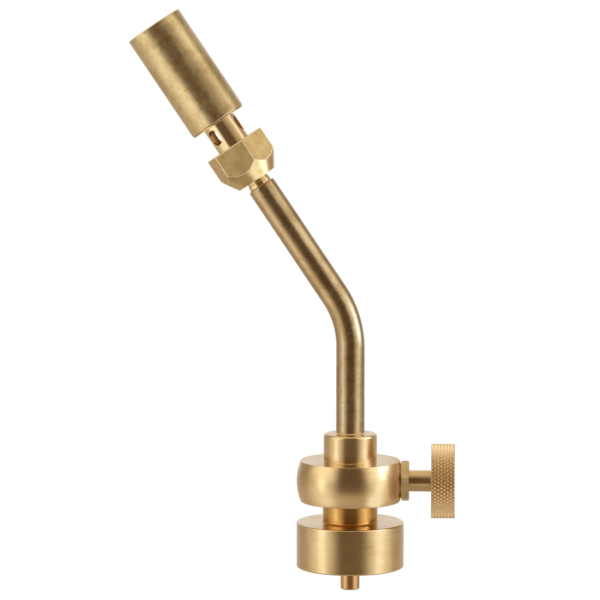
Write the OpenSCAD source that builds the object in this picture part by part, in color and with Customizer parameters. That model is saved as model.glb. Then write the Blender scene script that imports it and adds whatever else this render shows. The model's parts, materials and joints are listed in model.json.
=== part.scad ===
// Pencil-flame gas burner head with a screw-on cylinder coupling.
// Millimetres. The origin is the centre of the coupling's lower rim, +Z runs up the coupling's
// axis, +X points to the control knob, and the burner leans over towards -X.

/* [Cylinder coupling] */
// Outside diameter of the coupling
coupling_d = 31.75; // [31:0.05:33]
// Height of the coupling
coupling_h = 13.4; // [13:0.1:15]
// Nominal diameter of the female cylinder thread (1"-20 UNEF is 25.4)
thread_d = 25.4; // [25.2:0.1:25.6]
// Pitch of the cylinder thread
thread_pitch = 1.27; // [1.2:0.01:1.3]
// Diameter of the probe that opens the cylinder's valve
probe_d = 5.6; // [5:0.1:6]
// How far the probe stands out below the rim
probe_out = 6.8; // [3:0.05:9]

/* [Valve body] */
// Diameter of the neck between coupling and bulb
neck_d = 16.2; // [15:0.1:18]
// Height of that neck
neck_h = 6.3; // [5:0.1:8]
// Largest diameter of the bulb
bulb_d = 31.75; // [31:0.05:33]
// Height of the bulb
bulb_h = 12.1; // [12:0.1:13]
// Diameter of the collar that takes the gas tube
collar_d = 15.8; // [14:0.1:17]
// Height of the collar
collar_h = 8.1; // [7:0.1:10]

/* [Control valve] */
// Width across flats of the gland nut
gland_af = 11.1; // [10.8:0.1:11.5]
// Diameter of the valve stem
stem_d = 6.3; // [6.2:0.05:6.4]
// Pitch of the stem's thread (28 threads to the inch is 0.907)
stem_pitch = 0.907; // [0.7:0.001:1]
// Turns by which the valve is open
valve_open = 0; // [0:0.25:2]
// Diameter of the knob
knob_d = 22; // [18:0.5:26]
// Width of the knob's knurled rim
knob_w = 6.9; // [6.6:0.1:9]
// Distance from the coupling's axis to the knob's inner face
knob_x = 24; // [23.5:0.1:26]

/* [Gas tube] */
// Outside diameter of the gas tube
tube_d = 8.4; // [8.2:0.1:8.6]
// Wall of the gas tube
tube_wall = 1; // [0.9:0.05:1]
// Height where the bend begins
bend_z = 65.5; // [55:0.5:75]
// Radius of the bend on the tube's centre line
bend_r = 28; // [20:1:40]
// Angle of the bend
bend_angle = 33.9; // [20:0.1:45]
// Length of the straight stretch above the bend
tube_run = 38.6; // [30:0.1:60]

/* [Burner head] */
// Width across flats of the burner nut
nut_af = 16.6; // [16:0.1:17]
// Length of the burner nut with its cone
nut_h = 12.15; // [12:0.05:13]
// Outside diameter of the mixing tube
mix_d = 10.15; // [10:0.05:10.3]
// Length of mixing tube that shows between nut and flame tube
mix_gap = 7.95; // [7.8:0.05:10]
// Outside diameter of the flame tube
flame_d = 17.45; // [17:0.05:18]
// Length of the flame tube with the flange of its rear ring
flame_l = 34; // [30:0.1:40]
// Width of each air slot
slot_w = 3.65; // [3:0.05:4]
// Length of each air slot
slot_l = 4.95; // [4.5:0.05:5.5]
// Number of pilot holes round the flame holder
pilot_count = 12; // [8:1:14]

/* [Hidden] */
$fn = 96;

// eps joins solids that only touch, and past is how far a cutter runs beyond a face
eps = 0.01;
past = 1;

brass = "#cda45e";
brass_pale = "#d8b877";
brass_dark = "#b08a48";
copper = "#c08054";
bronze = "#9a6f3c";
steel = "#b9bcc0";
nitrile = "#232323";
ptfe = "#f2f0ea";

// Coupling: a blind threaded cup with the probe on its axis
coupling_edge = 0.45;
thread_r = thread_d / 2;
thread_depth = 0.54 * thread_pitch;
thread_bore_r = thread_r - thread_depth;
thread_crest = thread_pitch * 3 / 4;
thread_root = thread_pitch / 8;
thread_lap = 0.2;
thread_turns = 5;
thread_from = 1.7;
lead_r = thread_r + 0.4;
relief_r = thread_r + 0.15;
relief_z = [7.9, 9.1];
cup_floor_z = 10.3;
gasket_h = 1.2;
gasket_r = 11.5;
probe_r = probe_d / 2;
probe_flange_r = 4.6;
probe_flange_h = 1;
probe_edge = 0.4;
probe_bore_r = 0.9;
probe_slot = [0.8, 0.9];
probe_top_z = 15.5;

// Valve body, from the spigot in the coupling to the top of the collar
spigot_r = 5;
neck_top_z = coupling_h + neck_h;
bulb_top_z = neck_top_z + bulb_h;
collar_top_z = bulb_top_z + collar_h;
valve_z = neck_top_z + bulb_h / 2;
collar_edge = 0.7;
neck_fillet = 0.5;
spot_x = bulb_d / 2 - 0.975;
spot_r = 6.6;

// Gas way inside the body; the x values are measured from the coupling's axis to the knob
filter_r = 2.7;
filter_h = 2;
inlet_top_z = 21;
riser_r = 0.9;
riser_x = -1.6;
seat_r = 0.75;
seat_x = 1.2;
chamber_r = 2.6;
chamber_end_x = 2.4;
outlet_r = 0.5;
tap_r = 3;
tap_end_x = 7.6;
relief_bore_r = 3.25;
gland_bore_r = 4.3;
gland_floor_x = 9.5;

// Stuffing box: washer, packing, follower and gland nut, stacked along the stem
stem_r = stem_d / 2;
stem_gap = 0.05;
gland_hole_r = stem_r + stem_gap;
packing_hole_r = stem_r + 0.03;
gland_fill_r = gland_bore_r - 0.02;
washer_x = [gland_floor_x, 10.1];
packing_x = [washer_x[1], 12.3];
follower_x = [packing_x[1], 12.8];
nut_face_x = spot_x + 0.3;
gland_nut_end_x = 17.4;
gland_face_r = 5.2;
gland_turn = 14;

// Stem, needle and knob, drawn with the valve shut
needle_r = 0.9;
needle_gap = 0.05;
needle_head_r = 1.4;
needle_tip_r = 0.2;
needle_slope = 15;
seat_gap = 0.03;
stem_nose_r = 2.2;
stem_nose_x = 2;
stem_edge = 0.3;
stem_thread_r = tap_r - 0.06;
stem_thread_x = [3.2, 7.8];
swivel_x = [3.6, 4.8];
stem_end_r = 2.5;
stem_flat = 1.9;
knob_edge = 0.4;
knob_recess_r = 3.3;
knob_recess = 1.6;
knob_web = 1;
knob_end_x = knob_x + knob_w;
knob_seat_x = knob_end_x - knob_recess;
stem_end_x = knob_seat_x - knob_web;
dish_r = [6.5, 9.6];
dish_depth = 0.35;
screw_r = 1.5;
screw_head_r = 2.9;
screw_head_h = 1.2;
screw_slot = [0.7, 0.6];
screw_edge = 0.3;
screw_tip_x = knob_x - 1;

// Gas tube: up from its socket, round the bend, and out along the burner's axis
tube_r = tube_d / 2;
tube_bore_r = tube_r - tube_wall;
socket_z = 32;
bend_end_x = -bend_r * (1 - cos(bend_angle));
bend_end_z = bend_z + bend_r * sin(bend_angle);
tube_end_x = bend_end_x - tube_run * sin(bend_angle);
tube_end_z = bend_end_z + tube_run * cos(bend_angle);
bend_draw = 0.03;
bend_lap = 0.5;
braze_w = 0.8;
braze_h = 0.35;
neck_braze_w = 0.3;
neck_braze_h = 0.25;

// Burner head; the t values run along the burner's axis from the end of the gas tube
head_turn = -9.5;
neck_t = 2.3;
nipple_r = tube_bore_r;
nipple_neck_r = 3.5;
nipple_waist_r = 3.25;
nipple_step_t = 1.5;
nipple_bore_r = 1.6;
nipple_from_t = -9;
nipple_to_t = 7.5;
nut_end_t = neck_t + nut_h;
nut_cone_r = 6.15;
nut_cone_l = 5.4;
nut_corner_r = nut_af / 2 / cos(30);
nut_web_t = 9.5;
jet_r = 2.5;
jet_hex_af = 6;
jet_hex_t = [nut_web_t, 11.7];
jet_nose_t = 14;
jet_tip_t = 16.5;
jet_nose_r = 2.1;
jet_tip_r = 0.9;
jet_tip_wall = 0.8;
jet_hole_r = 0.15;
jet_bore_r = 0.8;
jet_seat_t = 5;
jet_filter_t = [3, 4.5];
mix_r = mix_d / 2;
mix_bore_r = 4.1;
mix_from_t = nut_web_t;
flame_from_t = nut_end_t + mix_gap;
flame_to_t = flame_from_t + flame_l;
holder_t = [flame_to_t - 15.45, flame_to_t - 12.95];
mix_to_t = holder_t[1];
slot_mid_t = nut_end_t + 4.65;
feed_r = 0.6;
feed_count = 6;
feed_t = holder_t[0] - 3.5;
flame_r = flame_d / 2;
flame_wall = 1;
flame_bore_r = flame_r - flame_wall;
flame_edge = 0.3;
mouth_edge = 0.25;
flange_r = flame_r - 0.2;
flange_h = 0.45;
ring_h = 2;
pilot_r = 0.6;

// A solid of revolution about Z from an outline of [radius, height] points
module turned(outline) {
    rotate_extrude() polygon(outline);
}

// A plain ring or washer between two heights
module ring(r_in, r_out, from, to) {
    difference() {
        rod(r_out, from, to);
        rod(r_in, from - past, to + past);
    }
}

// A round rod, or the cutter for a round hole, between two heights
module rod(r, from, to) {
    translate([0, 0, from]) cylinder(r = r, h = to - from);
}

// A hexagonal bar between two heights
module hex_bar(af, from, to) {
    translate([0, 0, from]) cylinder(r = af / 2 / cos(30), h = to - from, $fn = 6);
}

// Puts a piece drawn along Z on the valve's axis, so that its heights become x values
module on_valve_axis() {
    translate([0, 0, valve_z]) rotate([0, 90, 0]) children();
}

// Puts a piece on the valve's axis and carries it outwards as the valve opens
module on_stem_travel() {
    on_valve_axis() translate([0, 0, valve_open * stem_pitch]) children();
}

// The same for a piece that also turns with the knob
module on_stem() {
    on_stem_travel() rotate([0, 0, 360 * valve_open]) children();
}

// Puts a piece drawn along Z on the burner's axis, so that its heights become t values
module on_burner_axis() {
    translate([tube_end_x, 0, tube_end_z]) rotate([0, -bend_angle, 0]) children();
}

// Female thread, drawn as parallel grooves one pitch apart
module thread_grooves() {
    for (i = [0 : thread_turns - 1])
        translate([0, 0, thread_from + i * thread_pitch])
            turned([[thread_bore_r - thread_lap, -thread_crest / 2], [thread_bore_r, -thread_crest / 2],
                    [thread_r, -thread_root / 2], [thread_r, thread_root / 2],
                    [thread_bore_r, thread_crest / 2], [thread_bore_r - thread_lap, thread_crest / 2]]);
}

module cylinder_coupling() {
    r = coupling_d / 2;
    color(brass) difference() {
        turned([[0, 0], [r - coupling_edge, 0], [r, coupling_edge],
                [r, coupling_h - coupling_edge], [r - coupling_edge, coupling_h], [0, coupling_h]]);
        rod(thread_bore_r, -past, cup_floor_z);
        turned([[0, -past], [lead_r, -past], [lead_r, 0], [thread_bore_r, lead_r - thread_bore_r],
                [0, lead_r - thread_bore_r]]);
        rod(relief_r, relief_z[0], relief_z[1]);
        rod(spigot_r, cup_floor_z - past, coupling_h + past);
        thread_grooves();
    }
}

module inlet_gasket() {
    color(nitrile) ring(probe_r, gasket_r, cup_floor_z - gasket_h, cup_floor_z);
}

// Hollow pin that pushes the cylinder's valve open; its flange clamps the gasket
module valve_probe() {
    flange_top = cup_floor_z - gasket_h;
    color(copper) difference() {
        turned([[0, -probe_out], [probe_r - probe_edge, -probe_out], [probe_r, probe_edge - probe_out],
                [probe_r, flange_top - probe_flange_h], [probe_flange_r, flange_top - probe_flange_h],
                [probe_flange_r, flange_top], [probe_r, flange_top], [probe_r, probe_top_z],
                [0, probe_top_z]]);
        rod(probe_bore_r, -probe_out - past, probe_top_z + past);
        translate([0, 0, -probe_out])
            cube([3 * probe_r, probe_slot[0], 2 * probe_slot[1]], center = true);
    }
}

module inlet_filter() {
    color(bronze) rod(filter_r, probe_top_z, probe_top_z + filter_h);
}

// Bulb: a ball between two flat ends
module bulb() {
    intersection() {
        rod(bulb_d, neck_top_z, bulb_top_z);
        translate([0, 0, valve_z]) sphere(bulb_d / 2, $fn = 180);
    }
}

module body_blank() {
    neck_r = neck_d / 2;
    collar_r = collar_d / 2;
    turned([[0, cup_floor_z], [spigot_r, cup_floor_z], [spigot_r, coupling_h],
            [neck_r + neck_fillet, coupling_h], [neck_r, coupling_h + neck_fillet],
            [neck_r, neck_top_z + past], [0, neck_top_z + past]]);
    bulb();
    turned([[0, bulb_top_z - past], [collar_r, bulb_top_z - past],
            [collar_r, collar_top_z - collar_edge], [collar_r - collar_edge, collar_top_z],
            [0, collar_top_z]]);
}

// Gas way: probe socket, riser, seat, valve chamber, outlet port and tube socket
module gas_way() {
    rod(probe_r, cup_floor_z - past, probe_top_z);
    rod(filter_r, probe_top_z - eps, inlet_top_z);
    translate([riser_x, 0, 0]) rod(riser_r, inlet_top_z - eps, valve_z);
    on_valve_axis() {
        rod(seat_r, riser_x - seat_r, seat_x + eps);
        rod(chamber_r, seat_x, chamber_end_x + eps);
        rod(tap_r, chamber_end_x, tap_end_x + eps);
        rod(relief_bore_r, tap_end_x, gland_floor_x + eps);
        rod(gland_bore_r, gland_floor_x, spot_x + past);
        rod(spot_r, spot_x, bulb_d);
    }
    translate([(seat_x + chamber_end_x) / 2, 0, 0]) rod(outlet_r, valve_z + chamber_r / 2, socket_z + eps);
    rod(tube_r, socket_z, collar_top_z + past);
    turned([[0, collar_top_z - braze_w], [tube_r, collar_top_z - braze_w],
            [tube_r + braze_w, collar_top_z], [tube_r + braze_w, collar_top_z + past],
            [0, collar_top_z + past]]);
}

module valve_body() {
    color(brass) difference() {
        body_blank();
        gas_way();
    }
}

module gland_washer() {
    color(steel) on_valve_axis() ring(gland_hole_r, gland_fill_r, washer_x[0], washer_x[1]);
}

module gland_packing() {
    color(ptfe) on_valve_axis() ring(packing_hole_r, gland_fill_r, packing_x[0], packing_x[1]);
}

module gland_follower() {
    color(brass) on_valve_axis() ring(gland_hole_r, gland_fill_r, follower_x[0], follower_x[1]);
}

module gland_nut() {
    color(brass_dark) on_valve_axis() difference() {
        union() {
            rod(gland_fill_r, follower_x[1], nut_face_x);
            rod(gland_face_r, spot_x, nut_face_x + eps);
            rotate([0, 0, gland_turn]) hex_bar(gland_af, nut_face_x, gland_nut_end_x);
        }
        rod(gland_hole_r, follower_x[1] - past, gland_nut_end_x + past);
    }
}

// The stem's outer end, a rod with one flat that drives the knob, from the given height
module flatted_end(from) {
    intersection() {
        rod(stem_end_r, from, stem_end_x);
        translate([-stem_end_r, -stem_end_r, from - past])
            cube([2 * stem_end_r, stem_end_r + stem_flat, stem_end_x - from + 2 * past]);
    }
}

// Stem: swivel pocket for the needle in its nose, thread, plain shank, and a flatted end
module valve_stem() {
    color(brass) on_stem() difference() {
        union() {
            turned([[0, stem_nose_x], [stem_nose_r - stem_edge, stem_nose_x],
                    [stem_nose_r, stem_nose_x + stem_edge], [stem_nose_r, stem_thread_x[0]],
                    [stem_thread_r, stem_thread_x[0] + stem_edge], [stem_thread_r, stem_thread_x[1]],
                    [stem_r, stem_thread_x[1] + stem_edge], [stem_r, knob_x], [0, knob_x]]);
            flatted_end(knob_x - eps);
        }
        rod(needle_r + needle_gap, stem_nose_x - past, swivel_x[0] + eps);
        rod(needle_head_r + needle_gap, swivel_x[0], swivel_x[1]);
        rod(screw_r, screw_tip_x, stem_end_x + past);
    }
}

// Needle: a cone that shuts the seat, on a headed shank that swivels in the stem
module valve_needle() {
    seat_contact_r = seat_r - seat_gap;
    tip_x = seat_x - (seat_contact_r - needle_tip_r) / tan(needle_slope);
    full_x = seat_x + (needle_r - seat_contact_r) / tan(needle_slope);
    head_x = swivel_x + [needle_gap, -needle_gap];
    color(steel) on_stem_travel()
        turned([[0, tip_x], [needle_tip_r, tip_x], [needle_r, full_x], [needle_r, head_x[0]],
                [needle_head_r, head_x[0]], [needle_head_r, head_x[1]], [0, head_x[1]]]);
}

module knob() {
    r = knob_d / 2;
    color(brass_pale) on_stem() difference() {
        turned([[0, knob_x], [r - knob_edge, knob_x], [r, knob_x + knob_edge],
                [r, knob_end_x - knob_edge], [r - knob_edge, knob_end_x], [0, knob_end_x]]);
        flatted_end(knob_x - past);
        rod(screw_r, stem_end_x - past, knob_end_x);
        rod(knob_recess_r, knob_seat_x, knob_end_x + past);
        ring(dish_r[0], dish_r[1], knob_end_x - dish_depth, knob_end_x + past);
    }
}

module knob_screw() {
    head_end_x = knob_seat_x + screw_head_h;
    color(steel) on_stem() difference() {
        union() {
            rod(screw_r, screw_tip_x, knob_seat_x + eps);
            turned([[0, knob_seat_x], [screw_head_r, knob_seat_x],
                    [screw_head_r, head_end_x - screw_edge], [screw_head_r - screw_edge, head_end_x],
                    [0, head_end_x]]);
        }
        translate([0, 0, head_end_x])
            cube([3 * screw_head_r, screw_slot[0], 2 * screw_slot[1]], center = true);
    }
}

// Follows the tube's centre line with a round section, running past both ends by the given length.
// Bending draws the wall in by a hair, so the straight stretches lap over the ends of the bend.
module tube_path(r, longer) {
    rod(r, socket_z - longer, bend_z + bend_lap);
    translate([-bend_r, 0, bend_z]) rotate([90, 0, 0]) {
        rotate_extrude(angle = bend_angle) translate([bend_r, 0]) circle(r - bend_draw);
        rotate([0, 0, bend_angle]) translate([bend_r, -bend_lap, 0]) rotate([-90, 0, 0])
            cylinder(r = r, h = tube_run + longer + bend_lap);
    }
}

module gas_tube() {
    color(brass_dark) difference() {
        tube_path(tube_r, 0);
        tube_path(tube_bore_r, past);
    }
}

// Braze that fills the countersink round the foot of the gas tube
module tube_braze() {
    color(brass_pale)
        turned([[tube_r, collar_top_z - braze_w], [tube_r + braze_w, collar_top_z],
                [tube_r, collar_top_z + braze_h]]);
}

// Nipple between tube and nut: a spigot in the tube, a stepped neck, and a shank in the nut
module tube_nipple() {
    color(brass_pale) on_burner_axis() difference() {
        turned([[0, nipple_from_t], [nipple_r, nipple_from_t], [nipple_r, 0], [nipple_neck_r, 0],
                [nipple_neck_r, nipple_step_t], [nipple_waist_r, nipple_step_t],
                [nipple_waist_r, neck_t], [nipple_r, neck_t], [nipple_r, nipple_to_t],
                [0, nipple_to_t]]);
        rod(nipple_bore_r, nipple_from_t - past, jet_seat_t);
        rod(jet_r, jet_seat_t, nipple_to_t + past);
    }
}

// Thin fillet of braze between the nipple's neck and the end of the tube
module nipple_braze() {
    color(brass_pale) on_burner_axis()
        turned([[nipple_neck_r, 0], [nipple_neck_r + neck_braze_w, 0], [nipple_neck_r, neck_braze_h]]);
}

module jet_filter() {
    color(bronze) on_burner_axis() rod(nipple_bore_r, jet_filter_t[0], jet_filter_t[1]);
}

// Jet: threaded shank in the nipple, hexagon, and a nose with a fine hole
module gas_jet() {
    color(brass_pale) on_burner_axis() difference() {
        union() {
            rod(jet_r, jet_seat_t, jet_hex_t[0] + eps);
            hex_bar(jet_hex_af, jet_hex_t[0], jet_hex_t[1]);
            turned([[0, jet_hex_t[1] - eps], [jet_nose_r, jet_hex_t[1] - eps],
                    [jet_nose_r, jet_nose_t], [jet_tip_r, jet_tip_t], [0, jet_tip_t]]);
        }
        rod(jet_bore_r, jet_seat_t - past, jet_tip_t - jet_tip_wall);
        rod(jet_hole_r, jet_tip_t - past, jet_tip_t + past);
    }
}

// Burner nut: hexagon bar turned down to a cone at its lower end
module burner_nut() {
    cone_rise = (nut_corner_r - nut_cone_r) / nut_cone_l;
    color(brass) on_burner_axis() difference() {
        intersection() {
            rotate([0, 0, head_turn]) hex_bar(nut_af, neck_t, nut_end_t);
            translate([0, 0, neck_t])
                cylinder(r1 = nut_cone_r, r2 = nut_cone_r + cone_rise * nut_h, h = nut_h);
        }
        rod(nipple_r, neck_t - past, nipple_to_t);
        rod(jet_r, nipple_to_t - past, nut_web_t + eps);
        rod(mix_r, nut_web_t, nut_end_t + past);
    }
}

// One slot with round ends, cut through the wall along +X
module air_slot() {
    for (end = [-1, 1])
        translate([0, 0, slot_mid_t + end * (slot_l - slot_w) / 2])
            rotate([0, 90, 0]) cylinder(r = slot_w / 2, h = mix_d);
    translate([0, -slot_w / 2, slot_mid_t - (slot_l - slot_w) / 2])
        cube([mix_d, slot_w, slot_l - slot_w]);
}

module mixing_tube() {
    color(brass_pale) on_burner_axis() difference() {
        ring(mix_bore_r, mix_r, mix_from_t, mix_to_t);
        for (i = [0 : 2]) rotate([0, 0, head_turn + 120 * i]) air_slot();
        for (i = [0 : feed_count - 1])
            rotate([0, 0, head_turn + 360 / feed_count * i]) translate([0, 0, feed_t])
                rotate([0, 90, 0]) cylinder(r = feed_r, h = mix_d, $fn = 24);
    }
}

// Ring that closes the back of the flame tube; its thin flange lies against the tube's edge
module rear_ring() {
    color(brass) on_burner_axis() translate([0, 0, flame_from_t]) {
        ring(mix_r, flange_r, 0, flange_h);
        ring(mix_r, flame_bore_r, 0, ring_h);
    }
}

module flame_holder() {
    mid_r = (mix_r + flame_bore_r) / 2;
    color(brass) on_burner_axis() difference() {
        ring(mix_r, flame_bore_r, holder_t[0], holder_t[1]);
        for (i = [0 : pilot_count - 1])
            rotate([0, 0, 360 / pilot_count * i]) translate([mid_r, 0, 0])
                cylinder(r = pilot_r, h = flame_to_t, $fn = 24);
    }
}

module flame_tube() {
    back_t = flame_from_t + flange_h;
    color(brass) on_burner_axis()
        turned([[flame_bore_r, back_t], [flame_r - flame_edge, back_t], [flame_r, back_t + flame_edge],
                [flame_r, flame_to_t - mouth_edge], [flame_r - mouth_edge, flame_to_t],
                [flame_bore_r, flame_to_t]]);
}

cylinder_coupling();
inlet_gasket();
valve_probe();
inlet_filter();
valve_body();
gland_washer();
gland_packing();
gland_follower();
gland_nut();
valve_stem();
valve_needle();
knob();
knob_screw();
gas_tube();
tube_braze();
tube_nipple();
nipple_braze();
jet_filter();
gas_jet();
burner_nut();
mixing_tube();
rear_ring();
flame_holder();
flame_tube();
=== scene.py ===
"""Looks of a pencil-flame gas burner head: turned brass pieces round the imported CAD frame."""

import json
import math

import bmesh
import bpy
import numpy as np
from mathutils import Matrix, Vector


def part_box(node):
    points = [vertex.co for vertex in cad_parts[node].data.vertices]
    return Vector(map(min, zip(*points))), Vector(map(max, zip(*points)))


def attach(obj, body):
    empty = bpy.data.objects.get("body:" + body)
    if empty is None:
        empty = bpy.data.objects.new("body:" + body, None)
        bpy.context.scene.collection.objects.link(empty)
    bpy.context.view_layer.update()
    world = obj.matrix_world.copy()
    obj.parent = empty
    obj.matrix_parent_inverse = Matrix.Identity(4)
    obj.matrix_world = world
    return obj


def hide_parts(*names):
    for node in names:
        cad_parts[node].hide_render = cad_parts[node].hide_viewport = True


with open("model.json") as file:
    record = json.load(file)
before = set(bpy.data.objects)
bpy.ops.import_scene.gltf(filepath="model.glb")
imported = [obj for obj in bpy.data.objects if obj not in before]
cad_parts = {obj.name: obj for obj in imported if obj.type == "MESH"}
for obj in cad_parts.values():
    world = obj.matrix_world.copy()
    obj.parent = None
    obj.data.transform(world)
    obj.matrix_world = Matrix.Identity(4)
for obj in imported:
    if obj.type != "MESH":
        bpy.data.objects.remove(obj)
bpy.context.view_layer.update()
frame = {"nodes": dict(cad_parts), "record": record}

# ---------------------------------------------------------------------------
# Driving dimensions, in millimetres; places come from the frame where it has them
# ---------------------------------------------------------------------------
MM = 0.001
ROUND = 0.15        # usual fillet of a turned edge
FINE_ROUND = 0.1    # fillet of a small edge
HAIR = 0.01         # overlap of two shapes that become one
PAST = 1.0          # how far a cutting tool reaches past the piece
HEX_SHARE = math.cos(math.radians(30))


def box_mm(node):
    """Lowest and highest corner of a CAD node, in millimetres."""
    low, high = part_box(node)
    return low / MM, high / MM


def mount(name):
    """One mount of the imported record."""
    return next(m for m in frame["record"]["mounts"] if m["name"] == name)


COUPLING_HIGH = box_mm("cylinder_coupling")[1]
BODY_HIGH = box_mm("valve_body")[1]
PROBE_LOW, PROBE_HIGH = box_mm("valve_probe")
KNOB_LOW, KNOB_HIGH = box_mm("knob")
STEM_LOW, STEM_HIGH = box_mm("valve_stem")
GLAND_LOW, GLAND_HIGH = box_mm("gland_nut")
GASKET_LOW, GASKET_HIGH = box_mm("inlet_gasket")
VALVE_Z = (KNOB_LOW.z + KNOB_HIGH.z) / 2

# Coupling
COUPLING_R = COUPLING_HIGH.x
COUPLING_H = COUPLING_HIGH.z
COUPLING_EDGE = 0.45
THREAD_BORE_R = 12.014
THREAD_R = 12.7
THREAD_PITCH = 1.27
THREAD_SPAN = (1.15, 7.9)
THREAD_STEPS = 14                           # in each pitch
THREAD_MOUTH, THREAD_ROOT = 3 / 8, 1 / 16   # half widths of the groove, in pitches
LEAD_R, LEAD_ROUND = 13.1, 0.08
RELIEF_R = 12.85
CUP_FLOOR = 10.3
SPIGOT_R = 5.0

# Probe and gasket
PROBE_R = mount("valve_probe")["dims"]["r_mm"]
PROBE_BORE_R = 0.9
PROBE_EDGE = 0.45
PROBE_FLANGE_R = 4.6
PROBE_FLANGE = (8.1, 9.1)
PROBE_SLOT_W, PROBE_SLOT_DEPTH, PROBE_SLOT_REACH = 0.8, 0.9, 4.0
GASKET_EDGE = 0.25

# Valve body
NECK_R = 8.1
NECK_TOP = 19.7
NECK_FOOT, NECK_FOOT_H, NECK_FOOT_ROUND = 0.35, 0.4, 0.3
BULB_R = 15.875
BULB_TOP = 31.8
BULB_STEPS = 44
COLLAR_R = 7.9
COLLAR_EDGE = 0.95
SPOT_X = 14.9
SPOT_R = 6.6
WEAR_X = (10.5, 14.0)
BRAZE_SEAT = 0.8

# Gas tube and its braze ring
BRAZE_OUT, BRAZE_DIP = 0.75, 0.06
BRAZE_SHOULDER, BRAZE_SHOULDER_H, BRAZE_SHOULDER_ROUND = 0.35, 0.05, 0.3
BRAZE_CLIMB = 0.35
TUBE_R = 4.2
TUBE_BORE_R = 3.2
TUBE_FOOT = 32.0
TUBE_LIP = 0.12
BEND_Z = 65.5
BEND_R = 28.0
BEND_STEPS = 40
BEND_SQUASH = 0.012
TUBE_RUN = 38.6
FOOT_HEIGHTS = (TUBE_FOOT, TUBE_FOOT + 0.3, 38.0, 44.0, 50.0, 56.0, 61.0)
RUN_PLACES = (-34.0, -28.0, -22.0, -16.0, -10.0, -5.0, -0.4, 0.0)

# Burner head; heights are along its own axis, from the tube's end
HEAD_TURN = math.radians(-9.5)
NIPPLE_LOW, NIPPLE_TOP = -9.0, 7.5
NIPPLE_BORE_R = 1.6
NIPPLE_RIM_R, NIPPLE_RIM_TOP = 3.5, 1.5
NIPPLE_NECK_R, NIPPLE_NECK_FROM = 3.25, 1.62
NIPPLE_RIM_ROUND = 0.14
JET_R, JET_LOW = 2.5, 5.0
NUT_FROM, NUT_TO = 2.3, 14.45
NUT_AF = 16.6
NUT_BORE_R = 3.2
NUT_EDGE = 0.22
NUT_CONE_R = 6.15
NUT_CONE_L = 5.4
NUT_CONE_RISE = (NUT_AF / 2 / HEX_SHARE - NUT_CONE_R) / NUT_CONE_L
# Width of the painted highlight on the nut's flats along their edge with the cone
EDGE_HIGHLIGHT_WIDTH = 0.22
MIX_R = 5.075
MIX_BORE_R = 4.1
MIX_SKIN = 0.06
MIX_FROM = 9.5
SLOT_COUNT, SLOT_MID, SLOT_W, SLOT_L = 3, 19.1, 3.65, 4.95
SLOT_TOOL = (1.5, 9.0)
FEED_R, FEED_T, FEED_COUNT = 0.6, 37.45, 6
FLAME = mount("flame_tube_outside")
FLAME_R = FLAME["dims"]["r_mm"]
FLAME_BORE_R = FLAME_R - 1.0
FLAME_FROM, FLAME_TO = 22.4, 56.4
FLAME_REAR_ROUND, FLAME_MOUTH_ROUND, FLAME_INNER_ROUND = 0.35, 0.25, 0.2
HOLDER_FROM, HOLDER_TO = 40.95, 43.45
FLANGE_R, FLANGE_H, RING_H = FLAME_R - 0.2, 0.45, 2.0
RING_BORE_ROUND, FLANGE_SEAT_ROUND = 0.08, 0.12
PILOT_R, PILOT_COUNT, PILOT_SIDES = 0.6, 12, 20

# Gland nut, stem and knob; lengths are along the valve's axis, from the coupling's axis
GLAND_AF = 11.1
GLAND_TURN = math.radians(14)
GLAND_FACE_R, GLAND_FACE_H = 5.2, 0.3
GLAND_SHANK_R = 4.28
GLAND_BORE_R = 3.2
GLAND_CHAMFER_R, GLAND_CHAMFER_L, GLAND_CLEAR = 0.55, 0.5, 0.06
STEM_R = 3.15
STEM_NOSE_R = 2.2
STEM_THREAD_R = 2.94
STEM_THREAD = (3.2, 7.8)
STEM_CHAMFER = 0.3
STEM_END_R = 2.49
KNOB_R = (KNOB_HIGH.z - KNOB_LOW.z) / 2
KNOB_TEETH = 60
KNOB_ROWS = 7
KNOB_EDGE = 0.2
KNURL_DEPTH = 0.36
KNURL_FLAT = 0.3
DISH_IN, DISH_OUT, DISH_SLOPE, DISH_DEPTH = 6.3, 9.9, 0.3, 0.35
SINK_R, SINK_EDGE, SINK_DEPTH = 3.3, 0.2, 1.6
SOCKET_R, SOCKET_END = 2.5, 2.6
SCREW_HOLE_R = 1.5

# Frames that pieces are drawn in, each along its own Z
lean_x, _, lean_z = FLAME["axis"]
LEAN = math.atan2(-lean_x, lean_z)


def bend_point(angle):
    """The centre of the bend where the tube has turned by an angle."""
    return Vector((-BEND_R * (1 - math.cos(angle)), 0, BEND_Z + BEND_R * math.sin(angle)))


RUN_WAY = Vector((-math.sin(LEAN), 0, math.cos(LEAN)))
TUBE_END = bend_point(LEAN) + RUN_WAY * TUBE_RUN
UPRIGHT = Matrix.Identity(4)
ON_VALVE = Matrix.Translation((0, 0, VALVE_Z * MM)) @ Matrix.Rotation(math.radians(90), 4, "Y")
ON_BURNER = Matrix.Translation(TUBE_END * MM) @ Matrix.Rotation(-LEAN, 4, "Y")

# ---------------------------------------------------------------------------
# Camera
# ---------------------------------------------------------------------------
FOCAL_PX = 3101.0
IMAGE_PX = 600
SENSOR_MM = 36.0
CAMERA_AIM = Vector((-14.9, 0, 79.42))
CAMERA_DISTANCE = 914.0
CAMERA_YAW = math.radians(2.65)
CAMERA_PITCH = math.radians(6.0)
CAMERA_CLIP = (0.01, 20.0)


def direction(azimuth, elevation):
    """A unit vector; azimuth 0 is the front, and positive is to its right."""
    return Vector((math.sin(azimuth) * math.cos(elevation),
                   -math.cos(azimuth) * math.cos(elevation), math.sin(elevation)))


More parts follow.
